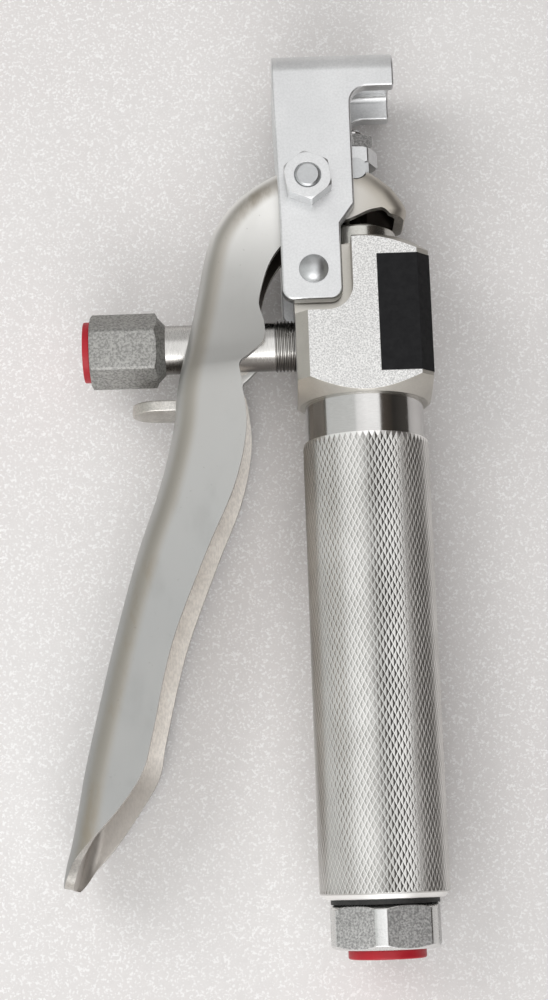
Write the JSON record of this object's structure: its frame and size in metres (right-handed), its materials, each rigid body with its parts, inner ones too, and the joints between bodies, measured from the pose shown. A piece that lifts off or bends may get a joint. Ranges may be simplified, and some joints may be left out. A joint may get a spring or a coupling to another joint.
{
  "type": "lever-operated dispensing nozzle",
  "caption": "Hand-held dispensing valve gun with a knurled grip, square valve block, pressed-steel squeeze lever, hanging bracket and capped threaded ports.",
  "frame": {"origin": "on the grip's axis, at the outer start of the inlet thread", "axes": "+Y along the grip towards the hanging bracket, +X away from the lever and the outlet, +Z out of the side that carries the cross bolt's nut; it lies with -Z down"},
  "size_m": [0.0949, 0.2292, 0.0368],
  "materials": {
    "machined_steel": "fine satin, machined",
    "polished_steel": "polished",
    "knurled_nickel": "bright plated diamond knurl",
    "lever_nickel": "dull plating, satin",
    "zinc_plate": "satin zinc plating",
    "spring_steel": "drawn wire",
    "strainer_brass": "plain brass",
    "seal_rubber": "matt black",
    "poppet_plastic": "plain",
    "cap_plastic": "soft red plastic",
    "label_black": "smooth black film, blank"
  },
  "bodies": {
    "body": {"valve_block": "machined_steel", "grip_tube": "knurled_nickel", "grip_seal_ring": "seal_rubber", "inlet_adapter": "machined_steel", "inlet_washer": "seal_rubber", "inlet_strainer": "strainer_brass", "outlet_fitting": "machined_steel", "gland_nut": "polished_steel", "packing_washer": "strainer_brass", "stem_packing": "seal_rubber", "valve_seat": "polished_steel", "seat_seal_ring": "seal_rubber", "closing_spring": "spring_steel", "pivot_rivet": "polished_steel", "label": "label_black"},
    "rocking_bracket": {"bracket": "zinc_plate", "cross_bolt": "zinc_plate", "cross_nut": "zinc_plate", "pivot_sleeve": "machined_steel"},
    "squeeze_lever": {"lever": "lever_nickel"},
    "stem": {"valve_stem": "polished_steel", "poppet_seal": "poppet_plastic", "trunnion_bar": "zinc_plate", "stem_nut": "machined_steel", "stem_lock_nut": "machined_steel"},
    "inlet_cover": {"inlet_cap": "cap_plastic"},
    "outlet_cover": {"outlet_cap": "cap_plastic"}
  },
  "joints": [
    {"name": "bracket_rock", "type": "hinge", "parent": "body", "child": "rocking_bracket", "pos_m": [-0.0119, 0.1644, 0], "axis": [0, 0, 1], "range_deg": [-2.04, 0]},
    {"name": "lever_squeeze", "type": "hinge", "parent": "rocking_bracket", "child": "squeeze_lever", "pos_m": [-0.0127, 0.1875, 0], "axis": [0, 0, 1], "range_deg": [0, 10.2], "stiffness_Nm_per_rad": 1.5, "springref_deg": -5.73},
    {"name": "stem_lift", "type": "slide", "parent": "body", "child": "stem", "axis": [0, 1, 0], "range_m": [0, 0.00182], "deforming": ["closing_spring"]},
    {"name": "inlet_cap_pull", "type": "slide", "parent": "body", "child": "inlet_cover", "axis": [0, -1, 0], "range_m": [0, 0.03]},
    {"name": "outlet_cap_pull", "type": "slide", "parent": "body", "child": "outlet_cover", "axis": [-1, 0, 0], "range_m": [0, 0.03]}
  ],
  "couplings": [
    {"joint": "bracket_rock", "follows": "lever_squeeze", "ratio": -0.2},
    {"joint": "stem_lift", "follows": "lever_squeeze", "m_per_rad": 0.01017}
  ]
}
